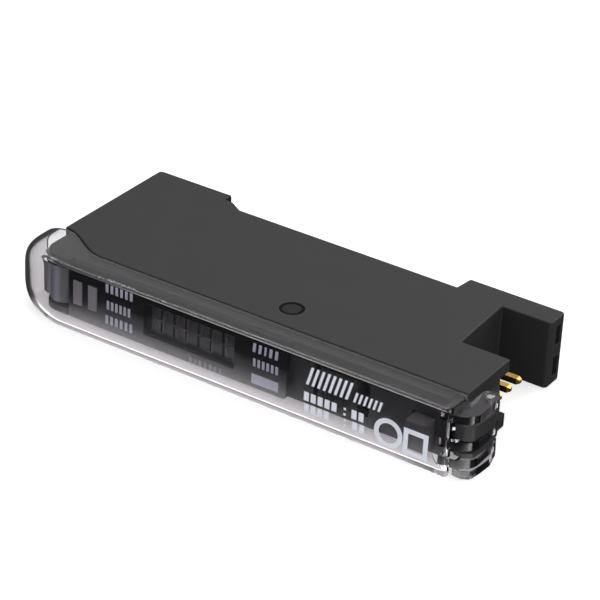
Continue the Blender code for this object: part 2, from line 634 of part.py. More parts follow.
def make_cover():
    """Smoke polycarbonate dust cover: domed shell, skirts and three hinge ears."""
    cover = cover_shell("cover", 0.0, NOSE_LENGTH, BODY_WIDTH / 2, COVER_EDGE, BODY_LENGTH, COVER_REAR_ROUND,
                        NOSE_SKIRT_DEPTH + 3)
    hollow = cover_shell("hollow", COVER_WALL, NOSE_LENGTH - COVER_WALL, BODY_WIDTH / 2 - COVER_WALL, 0.15,
                         BODY_LENGTH - COVER_WALL, 0.35, NOSE_SKIRT_DEPTH + 4)
    cut(cover, hollow)
    cut(cover, block("open_rear", (BODY_LENGTH - 2, LIP_DEPTH, COVER_WALL),
                     (BODY_LENGTH + 3, NOSE_SKIRT_DEPTH + 5, BODY_WIDTH - COVER_WALL)))
    rim = [(NOSE_FRONT - 3, rim_y(0))]
    rim += [(RIM_RUN * i / 12, rim_y(RIM_RUN * i / 12)) for i in range(13)]
    rim += [(BODY_LENGTH + 5, SKIRT_DEPTH), (BODY_LENGTH + 5, FAR), (NOSE_FRONT - 3, FAR)]
    cut(cover, prism("rim", rim, -1, BODY_WIDTH + 1))
    for low, high in (LOW_EAR, MIDDLE_EAR, UPPER_EAR):
        ear = prism("ear", ear_outline(), low, high)
        cut(ear, rod("pin_hole", "z", (HINGE_X, HINGE_Y), HINGE_PIN_RADIUS + HINGE_PIN_GAP, low - 1, high + 1))
        add(cover, ear)
    sweep = LUG_SWEEP_RADIUS + FIT_GAP
    cut(cover, rod("sweep", "z", (HINGE_X, HINGE_Y), sweep, -1, LOW_EAR[0] - FIT_GAP, steps=72))
    paint(smoke, cover)


def make_hinge_pin():
    """Plain steel pin, flush with the upper ear."""
    paint(steel, rod("hinge_pin", "z", (HINGE_X, HINGE_Y), HINGE_PIN_RADIUS, 0.2, UPPER_EAR[1] - 0.05))


def make_panel():
    """Gloss black front panel with windows for the two indicators and the display."""
    outline = fillet([(PANEL_FRONT, NARROW_LOW, 0.4), (PANEL_REAR, NARROW_LOW, 0.4),
                      (PANEL_REAR, NARROW_HIGH, 0.4), (PANEL_FRONT, NARROW_HIGH, 0.4)])
    bm = bmesh.new()
    top = [bm.verts.new(place(x, PANEL_Y, z)) for x, z in outline]
    low = [bm.verts.new(place(x, PANEL_Y + PANEL_THICKNESS, z)) for x, z in outline]
    bm.faces.new(top)
    bm.faces.new(low)
    for i in range(len(outline)):
        j = (i + 1) % len(outline)
        bm.faces.new((top[i], top[j], low[j], low[i]))
    panel = add_object("panel", bm)
    half = INDICATOR_HEIGHT / 2 + SEAM_GAP
    for start in INDICATOR_XS:
        cut(panel, block("indicator_way", (start - SEAM_GAP, 0, MID_Z - half),
                         (start + INDICATOR_WIDTH + SEAM_GAP, DECK_Y + 1, MID_Z + half)))
    window_half = DECK_HALF - 0.2 - DISPLAY_RIM
    cut(panel, block("display_window", (DISPLAY_START + DISPLAY_RIM, 0, MID_Z - window_half),
                     (DISPLAY_START + DISPLAY_LENGTH - DISPLAY_RIM, DECK_Y + 1, MID_Z + window_half)))
    paint(gloss_black, panel)


def make_display():
    """Four-digit block, each digit's four upright segments sunk in its face."""
    top_y = PANEL_Y + PANEL_THICKNESS + DISPLAY_SINK
    half = DECK_HALF - 0.2
    display = block("display_module", (DISPLAY_START, top_y, MID_Z - half),
                    (DISPLAY_START + DISPLAY_LENGTH, FRONT_BOARD_Y - SEAM_GAP, MID_Z + half))
    pitch = DISPLAY_LENGTH / DIGITS
    side = SEGMENT_WIDTH / 2
    for digit in range(DIGITS):
        middle = DISPLAY_START + pitch * (digit + 0.5)
        for x in (middle - pitch / 4, middle + pitch / 4):
            for low_z in (MID_Z - side - SEGMENT_LENGTH, MID_Z + side):
                cut(display, block("segment", (x - side, top_y - 1, low_z),
                                   (x + side, top_y + SEGMENT_DEPTH, low_z + SEGMENT_LENGTH)))
    paint(display_face, display)


def make_indicators():
    """Light guides that stand on the front board and end flush with the panel."""
    half = INDICATOR_HEIGHT / 2
    for name, start in zip(("output_indicator", "stability_indicator"), INDICATOR_XS):
        end = start + INDICATOR_WIDTH
        guide = block(name, (start, PANEL_Y - 0.05, MID_Z - half), (end, FRONT_BOARD_Y - 1.0, MID_Z + half))
        add(guide, block("foot", (start, FRONT_BOARD_Y - 1.6, MID_Z - half - INDICATOR_FOOT),
                         (end, FRONT_BOARD_Y - SEAM_GAP, MID_Z + half + INDICATOR_FOOT)))
        paint(milky, guide)


def make_jog_switch():
    """Knob that rocks on a stem, the stem that presses in, and the switch body."""
    pivot = (JOG_X, JOG_PIVOT_Y, MID_Z)
    radius = JOG_PIVOT_Y - JOG_TOP_Y
    half = JOG_WIDTH / 2
    spread = math.degrees(math.asin(half / radius))
    top = arc(JOG_X, JOG_PIVOT_Y, radius, 270 - spread, 270 + spread, 14)
    knob = prism("jog_knob", [(JOG_X - half, JOG_SKIRT_Y), *top, (JOG_X + half, JOG_SKIRT_Y)],
                 MID_Z - JOG_HEIGHT / 2, MID_Z + JOG_HEIGHT / 2, origin=pivot)
    for step in range(JOG_GROOVES):
        angle = math.radians(270 + (step - (JOG_GROOVES - 1) / 2) * JOG_GROOVE_PITCH_DEG)
        spot = (JOG_X + (radius + 0.1) * math.cos(angle), JOG_PIVOT_Y + (radius + 0.1) * math.sin(angle))
        cut(knob, rod("groove", "z", spot, JOG_GROOVE_RADIUS, MID_Z - JOG_HEIGHT, MID_Z + JOG_HEIGHT, steps=12))
    room = JOG_STEM_RADIUS + 0.6
    cut(knob, block("knob_hollow", (JOG_X - room, JOG_SKIRT_Y - 0.9, MID_Z - JOG_STEM_HEIGHT / 2 - FIT_GAP),
                    (JOG_X + room, JOG_PIVOT_Y + 1, MID_Z + JOG_STEM_HEIGHT / 2 + FIT_GAP)))
    stem = rod("jog_stem", "z", (JOG_X, JOG_PIVOT_Y - 0.8), JOG_STEM_RADIUS, MID_Z - JOG_STEM_HEIGHT / 2,
               MID_Z + JOG_STEM_HEIGHT / 2, origin=pivot)
    add(stem, block("post", (JOG_X - 0.55, JOG_PIVOT_Y - 0.7, MID_Z - 1.0),
                    (JOG_X + 0.55, FRONT_BOARD_Y - 0.4, MID_Z + 1.0)))
    body_half = DECK_HALF - 0.4
    body_reach = half + 0.6
    body = block("jog_switch", (JOG_X - body_reach, FRONT_BOARD_Y - JOG_SWITCH_THICKNESS, MID_Z - body_half),
                 (JOG_X + body_reach, FRONT_BOARD_Y - SEAM_GAP, MID_Z + body_half), edge=0.1)
    way = JOG_STEM_RADIUS + JOG_STEM_GAP
    way_half = JOG_STEM_HEIGHT / 2 + JOG_STEM_GAP
    cut(body, block("stem_way", (JOG_X - way, 0, MID_Z - way_half),
                    (JOG_X + way, FRONT_BOARD_Y + 1, MID_Z + way_half)))
    paint(black_abs, knob)
    paint(grey_key, stem)
    paint(chip_black, body)


def make_mode_key():
    """Raised grey key in its hole, and the small switch it presses."""
    middle_x = KEY_START + KEY_LENGTH / 2
    middle_z = KEY_LOW + KEY_HEIGHT / 2
    key_end = DECK_Y + KEY_SKIRT
    key = block("mode_key", (KEY_START, KEY_TOP_Y, KEY_LOW),
                (KEY_START + KEY_LENGTH, key_end, KEY_LOW + KEY_HEIGHT), edge=0.15,
                origin=(middle_x, DECK_Y, middle_z))
    board_y = FRONT_BOARD_Y - SEAM_GAP
    half = MODE_SWITCH_SIZE / 2
    switch = block("mode_switch", (middle_x - half, board_y - MODE_SWITCH_BODY, middle_z - half),
                   (middle_x + half, board_y, middle_z + half), edge=0.1)
    add(switch, rod("plunger", "y", (middle_x, middle_z), PLUNGER_RADIUS, key_end + KEY_TRAVEL + 0.1,
                    board_y - 0.2))
    paint(grey_key, key)
    paint(chip_black, switch)


def make_lock_lever():
    """Fibre lock lever: hub with a cam lobe and a short thumb tab, on its pin."""
    half = (NARROW_HIGH - NARROW_LOW) / 2 - LEVER_CHEEK - LEVER_SIDE_GAP
    hub = arc(LEVER_X, LEVER_Y, LEVER_HUB_RADIUS, 215, 415, 22)
    lobe = arc(LEVER_X, LEVER_Y, LEVER_LOBE_RADIUS, 72, 108, 4)
    back = arc(LEVER_X, LEVER_Y, LEVER_HUB_RADIUS, 125, 165, 4)
    tab = arc(LEVER_X, LEVER_Y, LEVER_TIP_RADIUS, 172, 192, 3)
    lever = prism("lock_lever", hub + lobe + back + tab, MID_Z - half, MID_Z + half,
                  origin=(LEVER_X, LEVER_Y, MID_Z), low_edge=0.12, high_edge=0.12)
    cut(lever, rod("lever_bore", "z", (LEVER_X, LEVER_Y), LEVER_PIN_RADIUS + PIN_GAP, -1, BODY_WIDTH + 1))
    pin = rod("lever_pin", "z", (LEVER_X, LEVER_Y), LEVER_PIN_RADIUS, NARROW_LOW + 0.2, NARROW_HIGH - 0.5)
    paint(grey_lever, lever)
    paint(steel, pin)


def make_fibre_path():
    """Guide block with two bores, the sliding clamp that grips both fibres, and the optics behind."""
    end = GUIDE_START + GUIDE_LENGTH
    guide_half = INNER_HALF - FIT_GAP
    first_y, last_y = FIBRE_YS
    guide = block("fibre_guide", (GUIDE_START, first_y - GUIDE_MARGIN, MID_Z - guide_half),
                  (end, last_y + GUIDE_MARGIN, MID_Z + guide_half), edge=0.15)
    for fibre_y in FIBRE_YS:
        cut(guide, rod("bore", "x", (fibre_y, MID_Z), FIBRE_BORE_RADIUS, 0, end + 1))
    half = CLAMP_THICKNESS / 2
    height_half = CLAMP_HEIGHT / 2
    cut(guide, block("clamp_slot", (CLAMP_X - half - CLAMP_GAP, 0, MID_Z - height_half - CLAMP_GAP),
                     (CLAMP_X + half + CLAMP_GAP, last_y + 1.2, MID_Z + height_half + CLAMP_GAP)))
    head_y = LEVER_Y + LEVER_LOBE_RADIUS + CAM_GAP
    clamp = block("fibre_clamp", (CLAMP_X - half, head_y, MID_Z - height_half),
                  (CLAMP_X + half, last_y + 0.9 - FIT_GAP, MID_Z + height_half), edge=0.1,
                  origin=(CLAMP_X, head_y, MID_Z))
    grip = FIBRE_BORE_RADIUS + 0.15
    cut(clamp, rod("grip", "x", (first_y, MID_Z), grip, 0, end))
    cut(clamp, block("grip_end", (0, last_y - grip, MID_Z - grip), (end, last_y + 3, MID_Z + grip)))
    paint(chip_black, guide)
    paint(grey_key, clamp)
    lead = LEAD_SIZE / 2
    for name, fibre_y, tone in (("light_receiver", first_y, chip_black), ("light_emitter", last_y, clear_lens)):
        optic = rod(name, "x", (fibre_y, MID_Z), OPTIC_FLANGE_RADIUS, OPTIC_START,
                    OPTIC_START + OPTIC_FLANGE_THICKNESS)
        can_end = OPTIC_START + OPTIC_LENGTH
        add(optic, rod("can", "x", (fibre_y, MID_Z), OPTIC_RADIUS, OPTIC_START + 0.5, can_end))
        for lead_y in (fibre_y - LEAD_SPREAD, fibre_y + LEAD_SPREAD):
            add(optic, block("lead", (can_end - 0.5, lead_y - lead, MID_Z + SEAM_GAP),
                             (MAIN_BOARD_START + 1.5, lead_y + lead, MID_Z + SEAM_GAP + LEAD_SIZE)))
        paint(tone, optic)


def board_part(name, size, low_x, low_y, deck, edge=0.0):
    """Plain block soldered to the main board, size long, wide and high."""
    return block(name, (low_x, low_y, deck), (low_x + size[0], low_y + size[1], deck + size[2]), edge=edge)


def make_boards():
    """Front board for the display and switches, main board, and the parts on them."""
    board_half = INNER_HALF - FIT_GAP
    front = block("front_board", (PANEL_FRONT + WALL + 0.2, FRONT_BOARD_Y, MID_Z - board_half),
                  (BODY_LENGTH - WALL - FIT_GAP, FRONT_BOARD_Y + FRONT_BOARD_THICKNESS, MID_Z + board_half))
    main = block("main_board", (MAIN_BOARD_START, MAIN_BOARD_LOW_Y, MAIN_BOARD_Z),
                 (MAIN_BOARD_END, MAIN_BOARD_HIGH_Y, MAIN_BOARD_Z + MAIN_BOARD_THICKNESS))
    deck = MAIN_BOARD_Z + MAIN_BOARD_THICKNESS + SEAM_GAP
    middle_y = (MAIN_BOARD_LOW_Y + MAIN_BOARD_HIGH_Y) / 2
    first_y = FIBRE_YS[0]

    shield_x = MAIN_BOARD_START + SHIELD_FROM_BOARD_START
    shield_y = first_y - SHIELD_SIZE[1] / 2
    shield = board_part("receiver_shield", SHIELD_SIZE, shield_x, shield_y, deck, edge=0.15)
    hollow = (SHIELD_SIZE[0] - 2 * SHIELD_WALL, SHIELD_SIZE[1] - 2 * SHIELD_WALL, SHIELD_SIZE[2])
    cut(shield, board_part("shield_hollow", hollow, shield_x + SHIELD_WALL, shield_y + SHIELD_WALL,
                           deck - SHIELD_WALL))
    receiver = (RECEIVER_CHIP_SIZE, RECEIVER_CHIP_SIZE, CHIP_THICKNESS)
    receiver_chip = board_part("receiver_chip", receiver, shield_x + (SHIELD_SIZE[0] - RECEIVER_CHIP_SIZE) / 2,
                               first_y - RECEIVER_CHIP_SIZE / 2, deck)
    controller = (CONTROLLER_SIZE, CONTROLLER_SIZE, CHIP_THICKNESS)
    controller_chip = board_part("controller_chip", controller, MAIN_BOARD_START + CONTROLLER_FROM_BOARD_START,
                                 middle_y - CONTROLLER_SIZE / 2, deck)
    crystal = board_part("clock_crystal", CRYSTAL_SIZE, MAIN_BOARD_START + CRYSTAL_FROM_BOARD_START,
                         middle_y + CONTROLLER_SIZE / 2 - CRYSTAL_SIZE[1], deck, edge=0.2)

    capacitor_y = MAIN_BOARD_HIGH_Y - BOARD_MARGIN - CAPACITOR_RADIUS
    capacitor_x = MAIN_BOARD_END - CAPACITOR_FROM_BOARD_END
    capacitor = rod("capacitor", "z", (capacitor_x, capacitor_y), CAPACITOR_RADIUS, deck, INNER_TOP - 0.4)
    coil = board_part("supply_coil", COIL_SIZE, MAIN_BOARD_END - COIL_FROM_BOARD_END,
                      MAIN_BOARD_HIGH_Y - BOARD_MARGIN - COIL_SIZE[1], deck, edge=0.3)
    link_x = MAIN_BOARD_END - LINK_FROM_BOARD_END
    link_y = MAIN_BOARD_LOW_Y + 0.2
    link = board_part("board_link", LINK_SIZE, link_x, link_y, deck)
    transistor = board_part("output_transistor", (*TRANSISTOR_SIZE, CHIP_THICKNESS), link_x,
                            link_y + LINK_SIZE[1] + 1.0, deck)
    chip_x = WINDOW_X - LINK_CHIP_SIZE[0] / 2
    chip_y = WINDOW_Y - LINK_CHIP_SIZE[1] / 2
    upper_room = INNER_TOP - LINK_CHIP_GAP - deck
    upper = board_part("upper_link_chip", (*LINK_CHIP_SIZE, upper_room), chip_x, chip_y, deck)
    lower_foot = LID_THICKNESS + LINK_CHIP_GAP
    lower_room = MAIN_BOARD_Z - SEAM_GAP - lower_foot
    lower = board_part("lower_link_chip", (*LINK_CHIP_SIZE, lower_room), chip_x, chip_y, lower_foot)
    paint(board_green, front, main)
    paint(tin, shield, crystal, capacitor)
    paint(chip_black, receiver_chip, controller_chip, coil, transistor, link, upper, lower)


def make_windows():
    """Round side windows, each a stepped plug that shows as a disc on the face."""
    for name, face, inner, step in (("upper_window", BODY_WIDTH - WINDOW_SINK, INNER_TOP, -1),
                                    ("lower_window", WINDOW_SINK, LID_THICKNESS, 1)):
        flange = (inner + step * 0.1, inner + step * (0.1 + WINDOW_FLANGE_THICKNESS))
        plug = sorted((face, flange[1] - step * 0.2))
        window = rod(name, "z", (WINDOW_X, WINDOW_Y), WINDOW_RADIUS, plug[0], plug[1], steps=32)
        add(window, rod("flange", "z", (WINDOW_X, WINDOW_Y), WINDOW_RADIUS + WINDOW_FLANGE, min(flange),
                        max(flange), steps=32))
        paint(gloss_black, window)


def make_connector():
    """Insulating header at the end of the main board, and the square power pins that cross the notch."""
    inner = NOTCH_START - WALL - FIT_GAP
    low_y = PIN_YS[0]
    high_y = PIN_YS[-1]
    header = block("pin_header", (inner - HEADER_DEPTH, low_y - HEADER_MARGIN, MID_Z - HEADER_HEIGHT / 2),
                   (inner, high_y + HEADER_MARGIN, MID_Z + HEADER_HEIGHT / 2))
    add(header, block("header_nose", (inner - 1, low_y - HEADER_NOSE_MARGIN, MID_Z - HEADER_NOSE_HEIGHT / 2),
                      (NOTCH_START - FIT_GAP, high_y + HEADER_NOSE_MARGIN, MID_Z + HEADER_NOSE_HEIGHT / 2)))
    reach = PIN_SIZE / 2 + PIN_GAP
    for pin_y in PIN_YS:
        cut(header, block("pin_way", (0, pin_y - reach, MID_Z - reach),
                          (BODY_LENGTH, pin_y + reach, MID_Z + reach)))
    paint(insulator, header)
    size = PIN_SIZE / 2
    tip_x = BODY_LENGTH - 0.05
    for name, pin_y in zip(("power_pin", "output_pin", "ground_pin"), PIN_YS):
        bm = bmesh.new()
        rings = []
        for x, half_size in ((MAIN_BOARD_END + FIT_GAP, size), (tip_x - PIN_TAPER, size), (tip_x, size * 0.55)):
            corners = [(-1, -1), (1, -1), (1, 1), (-1, 1)]
            rings.append([bm.verts.new(place(x, pin_y + half_size * a, MID_Z + half_size * b))
                          for a, b in corners])
        for first, second in zip(rings, rings[1:]):
            for i in range(4):
                j = (i + 1) % 4
                bm.faces.new((first[i], first[j], second[j], second[i]))
        bm.faces.new(rings[0])
        bm.faces.new(rings[-1])
        paint(gold, add_object(name, bm))


make_housing()
make_side_lid()
make_cover()
make_hinge_pin()
make_panel()
make_display()
make_indicators()
make_jog_switch()
make_mode_key()
make_lock_lever()
make_fibre_path()
make_boards()
make_windows()
make_connector()
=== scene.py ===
import math

import bmesh
import bpy
from mathutils import Matrix, Vector


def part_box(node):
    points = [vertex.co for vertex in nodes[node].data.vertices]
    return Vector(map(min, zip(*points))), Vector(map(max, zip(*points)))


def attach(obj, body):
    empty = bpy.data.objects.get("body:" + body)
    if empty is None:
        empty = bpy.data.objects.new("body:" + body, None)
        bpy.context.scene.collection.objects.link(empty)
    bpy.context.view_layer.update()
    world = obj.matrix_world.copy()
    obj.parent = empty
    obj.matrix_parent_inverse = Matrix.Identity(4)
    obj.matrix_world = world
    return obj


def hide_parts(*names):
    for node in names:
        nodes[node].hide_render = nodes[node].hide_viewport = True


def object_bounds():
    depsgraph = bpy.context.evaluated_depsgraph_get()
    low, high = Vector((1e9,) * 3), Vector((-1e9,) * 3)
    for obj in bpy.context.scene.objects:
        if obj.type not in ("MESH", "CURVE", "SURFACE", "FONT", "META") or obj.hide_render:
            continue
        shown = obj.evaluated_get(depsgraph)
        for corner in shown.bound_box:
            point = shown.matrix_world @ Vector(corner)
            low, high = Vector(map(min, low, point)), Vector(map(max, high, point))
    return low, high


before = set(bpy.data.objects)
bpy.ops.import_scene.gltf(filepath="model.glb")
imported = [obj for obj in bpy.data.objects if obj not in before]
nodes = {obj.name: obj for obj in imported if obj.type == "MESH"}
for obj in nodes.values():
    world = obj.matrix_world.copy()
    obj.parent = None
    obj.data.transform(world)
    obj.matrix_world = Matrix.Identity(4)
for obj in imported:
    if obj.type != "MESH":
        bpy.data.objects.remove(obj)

cad_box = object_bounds()

# The camera stands where the photographer stood, in front of the dust cover and a little to the right.
# It has a long lens and is tilted by a few degrees.
aim = Vector((0.00045, 0.00155, 0.00645))
azimuth = math.radians(32.20)
elevation = math.radians(29.51)
tilt = math.radians(2.96)
distance = 0.34636
back = Vector((math.sin(azimuth) * math.cos(elevation), -math.cos(azimuth) * math.cos(elevation),
               math.sin(elevation)))
camera_data = bpy.data.cameras.new("camera")
camera_data.lens = 155.57
camera_data.sensor_width = 36.0
camera_data.clip_start = 0.01
camera_data.clip_end = 20.0
camera = bpy.data.objects.new("camera", camera_data)
bpy.context.scene.collection.objects.link(camera)
turn_to_aim = back.to_track_quat("Z", "Y").to_matrix().to_4x4() @ Matrix.Rotation(tilt, 4, "Z")
camera.matrix_world = Matrix.Translation(aim + back * distance) @ turn_to_aim
bpy.context.scene.camera = camera

# The housing is a case moulded in black ABS with a fine spark-eroded grain. It carries the rail seat, the
# arm with its two cored slots, the hinge lugs and the deck under the cover. The foot of its lowest lug is
# clear smoke.
housing_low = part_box("housing")[0]
cover_low, cover_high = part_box("cover")
foot_start = 66.2
foot_height = 1.25
foot_smoke = (0.58, 0.55, 0.59)
foot_roughness = 0.03


def spot(x, y, z):
    """Point in metres from millimetres behind the housing's front, the cover's face and the underside."""
    return Vector((housing_low[0] + x * 0.001, cover_low[1] + y * 0.001, housing_low[2] + z * 0.001))


def link_nodes(tree, *pairs):
    for start, end in pairs:
        tree.links.new(start, end)


def new_material(name):
    """Empty node material with its output and one Principled shader joined."""
    made = bpy.data.materials.new(name)
    made.use_nodes = True
    tree = made.node_tree
    return made, tree, tree.nodes["Principled BSDF"]


def math_step(tree, operation, *values):
    """Math node, with None for each input that gets a link."""
    step = tree.nodes.new("ShaderNodeMath")
    step.operation = operation
    for socket, value in zip(step.inputs, values):
        if value is not None:
            socket.default_value = value
    return step


def span(tree, from_min, from_max, to_min, to_max):
    """Node that turns one span of values into another."""
    turned = tree.nodes.new("ShaderNodeMapRange")
    turned.inputs["From Min"].default_value = from_min
    turned.inputs["From Max"].default_value = from_max
    turned.inputs["To Min"].default_value = to_min
    turned.inputs["To Max"].default_value = to_max
    return turned


def noise(tree, scale, detail):
    texture = tree.nodes.new("ShaderNodeTexNoise")
    texture.inputs["Scale"].default_value = scale
    texture.inputs["Detail"].default_value = detail
    return texture


def colour_mix(tree, first, second):
    """Mix of two colours, with None for one that gets a link."""
    mix = tree.nodes.new("ShaderNodeMix")
    mix.data_type = "RGBA"
    for socket, colour in ((mix.inputs[6], first), (mix.inputs[7], second)):
        if colour:
            socket.default_value = (*colour, 1.0)
    return mix


def rounded_edges(tree, radius):
    edges = tree.nodes.new("ShaderNodeBevel")
    edges.samples = 4
    edges.inputs["Radius"].default_value = radius
    return edges


def fine_bump(tree, height):
    bump = tree.nodes.new("ShaderNodeBump")
    bump.inputs["Distance"].default_value = height
    return bump


def grained_plastic(name, dark, light, roughness, grain_size, grain_height, specular=0.5, painted_rib_light_pitch=None):
    """Moulded plastic: a fine eroded grain, a slow drift of tone and slightly rounded edges.

    With a rib pitch, the tone goes from dark to light and back at that pitch instead, as painted highlight
    and shade of ribs.
    """
    made, tree, shader = new_material(name)
    place = tree.nodes.new("ShaderNodeTexCoord")
    if painted_rib_light_pitch:
        # A wave texture of scale 1 repeats every 0.314 m.
        wave_repeat = 0.314
        drift = tree.nodes.new("ShaderNodeTexWave")
        drift.inputs["Scale"].default_value = wave_repeat / painted_rib_light_pitch
        drift.inputs["Distortion"].default_value = 0.6
    else:
        drift = noise(tree, 260.0, 4.0)
    tone = colour_mix(tree, dark, light)
    grain = noise(tree, 1.0 / grain_size, 3.0)
    sheen = span(tree, 0.0, 1.0, roughness - 0.06, roughness + 0.06)
    edges = rounded_edges(tree, 0.00012)
    bump = fine_bump(tree, grain_height)
    bump.inputs["Strength"].default_value = 0.6
    link_nodes(tree,
               (place.outputs["Object"], drift.inputs["Vector"]),
               (place.outputs["Object"], grain.inputs["Vector"]),
               (drift.outputs["Fac"], tone.inputs[0]),
               (tone.outputs[2], shader.inputs["Base Color"]),
               (grain.outputs["Fac"], sheen.inputs["Value"]),
               (sheen.outputs["Result"], shader.inputs["Roughness"]),
               (grain.outputs["Fac"], bump.inputs["Height"]),
               (edges.outputs["Normal"], bump.inputs["Normal"]),
               (bump.outputs["Normal"], shader.inputs["Normal"]))
    shader.inputs["Specular IOR Level"].default_value = specular
    return made


def with_clear_foot(material, name, low_x, high_z):
    """The same plastic, but clear where it lies behind low_x and below high_z."""
    made = material.copy()
    made.name = name
    tree = made.node_tree
    shader = tree.nodes["Principled BSDF"]
    place = tree.nodes.new("ShaderNodeTexCoord")
    axes = tree.nodes.new("ShaderNodeSeparateXYZ")
    behind = math_step(tree, "GREATER_THAN", None, low_x)
    below = math_step(tree, "LESS_THAN", None, high_z)
    foot = math_step(tree, "MULTIPLY")
    tone = colour_mix(tree, None, foot_smoke)
    shine = tree.nodes.new("ShaderNodeMix")
    shine.inputs[3].default_value = foot_roughness
    link_nodes(tree,
               (place.outputs["Object"], axes.inputs["Vector"]),
               (axes.outputs["X"], behind.inputs[0]),
               (axes.outputs["Z"], below.inputs[0]),
               (behind.outputs[0], foot.inputs[0]),
               (below.outputs[0], foot.inputs[1]),
               (foot.outputs[0], tone.inputs[0]),
               (shader.inputs["Base Color"].links[0].from_socket, tone.inputs[6]),
               (foot.outputs[0], shine.inputs[0]),
               (shader.inputs["Roughness"].links[0].from_socket, shine.inputs[2]),
               (foot.outputs[0], shader.inputs["Transmission Weight"]),
               (tone.outputs[2], shader.inputs["Base Color"]),
               (shine.outputs[0], shader.inputs["Roughness"]))
    return made


def dress(material, *names):
    for name in names:
        nodes[name].material_slots[0].material = material


housing_black = grained_plastic("housing_black", (0.016, 0.016, 0.017), (0.021, 0.021, 0.022), 0.55,
                                0.00011, 0.000010, specular=0.42)
housing_case = with_clear_foot(housing_black, "housing_case", spot(foot_start, 0, 0).x,
                               spot(0, 0, foot_height).z)
dress(housing_case, "housing")

# The side lid is a flat plate of the same black ABS. It lies in a recess of the case's underside, with a
# hair-thin seam round its edge.
dress(housing_black, "side_lid")

# The link windows are small round plugs of dark glossy acrylic that pass infra-red. They are pressed into the
# two sides of the case, a hair below the face. A thin flat black ring round each is painted shade, which
# widens the dark gap round the window.
window_low, window_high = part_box("upper_window")
window_middle = (window_low + window_high) / 2
window_radius = 0.0016
shade_ring_width = 0.0003
shade_ring_rise = 0.00003
shade_ring_seat = 0.000005
shade_ring_steps = 64


def gloss_plastic(name, colour, roughness, specular=0.5, painted_reflection_colour=None):
    """Polished moulding, almost smooth, with the faint ripple of a steel mould.

    Given a second colour, its lower half is painted paler in it, a painted reflection of the bright floor.
    The paler half starts lower at the fibre end, where the indicators are.
    """
    made, tree, shader = new_material(name)
    place = tree.nodes.new("ShaderNodeTexCoord")
    wave = noise(tree, 420.0, 2.0)
    edges = rounded_edges(tree, 0.0001)
    bump = fine_bump(tree, 0.000002)
    wear = span(tree, 0.0, 1.0, roughness, roughness * 1.6 + 0.01)
    link_nodes(tree,
               (place.outputs["Object"], wave.inputs["Vector"]),
               (wave.outputs["Fac"], bump.inputs["Height"]),
               (wave.outputs["Fac"], wear.inputs["Value"]),
               (wear.outputs["Result"], shader.inputs["Roughness"]),
               (edges.outputs["Normal"], bump.inputs["Normal"]),
               (bump.outputs["Normal"], shader.inputs["Normal"]))
    shader.inputs["Base Color"].default_value = (*colour, 1.0)
    shader.inputs["Specular IOR Level"].default_value = specular
    if painted_reflection_colour:
        # The lower half is painted paler: a painted reflection of the bright floor.
        fade_low = 0.0044
        fade_high = 0.0054
        fibre_end_drop = 0.0022
        axes = tree.nodes.new("ShaderNodeSeparateXYZ")
        lift = span(tree, spot(8.0, 0, 0).x, spot(12.0, 0, 0).x, fibre_end_drop, 0.0)
        lifted = math_step(tree, "ADD")
        painted_reflection_fade = span(tree, fade_low, fade_high, 0.0, 1.0)
        tone = colour_mix(tree, painted_reflection_colour, colour)
        link_nodes(tree,
                   (place.outputs["Object"], axes.inputs["Vector"]),
                   (axes.outputs["X"], lift.inputs["Value"]),
                   (axes.outputs["Z"], lifted.inputs[0]),
                   (lift.outputs["Result"], lifted.inputs[1]),
                   (lifted.outputs[0], painted_reflection_fade.inputs["Value"]),
                   (painted_reflection_fade.outputs["Result"], tone.inputs[0]),
                   (tone.outputs[2], shader.inputs["Base Color"]))
    return made


def mesh_object(name, bm, *materials):
    """Object made of a bmesh, with its faces turned out."""
    bmesh.ops.recalc_face_normals(bm, faces=bm.faces)
    mesh = bpy.data.meshes.new(name)
    bm.to_mesh(mesh)
    bm.free()
    for material in materials:
        mesh.materials.append(material)
    made = bpy.data.objects.new(name, mesh)
    bpy.context.scene.collection.objects.link(made)
    return made


def window_shade_ring(name, face, rise):
    """Flat black ring round a window's rim, from the face up by rise: painted shade."""
    bm = bmesh.new()
    rings = []
    for radius, z in ((window_radius, face), (window_radius, face + rise),
                      (window_radius - shade_ring_width, face + rise), (window_radius - shade_ring_width, face)):
        rings.append([bm.verts.new((window_middle.x + radius * math.cos(2 * math.pi * i / shade_ring_steps),
                                    window_middle.y + radius * math.sin(2 * math.pi * i / shade_ring_steps), z))
                      for i in range(shade_ring_steps)])
    for ring, following in zip(rings, rings[1:] + rings[:1]):
        for i in range(shade_ring_steps):
            j = (i + 1) % shade_ring_steps
            bm.faces.new((ring[i], ring[j], following[j], following[i]))
    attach(mesh_object(name, bm, shade_ring_black), "housing")


window_black = gloss_plastic("window_black", (0.006, 0.006, 0.008), 0.30, specular=0.25)
dress(window_black, "upper_window", "lower_window")
# A flat black ring of painted shade lies round each window.
shade_ring_black = gloss_plastic("shade_ring_black", (0.003, 0.003, 0.003), 0.6, specular=0.1)
window_shade_ring("upper_shade_ring", window_high.z + shade_ring_seat, shade_ring_rise)
window_shade_ring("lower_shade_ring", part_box("lower_window")[0].z - shade_ring_seat, -shade_ring_rise)

# The front panel is a gloss black moulding, clipped on the deck under the cover. It frames the two indicators
# and the display, and rows of small white marks are printed on it.
# Its lower half is painted paler, a painted reflection of the bright floor.
panel_black = gloss_plastic("panel_black", (0.004, 0.004, 0.005), 0.12, specular=0.3,
                            painted_reflection_colour=(0.040, 0.040, 0.046))
dress(panel_black, "panel")
panel_face = 2.2
ink_depth = 0.00002
ink = grained_plastic("ink", (0.60, 0.63, 0.74), (0.66, 0.69, 0.80), 0.6, 0.0001, 0.000002)
faint_ink = grained_plastic("faint_ink", (0.24, 0.25, 0.29), (0.28, 0.29, 0.33), 0.6, 0.0001, 0.000002)


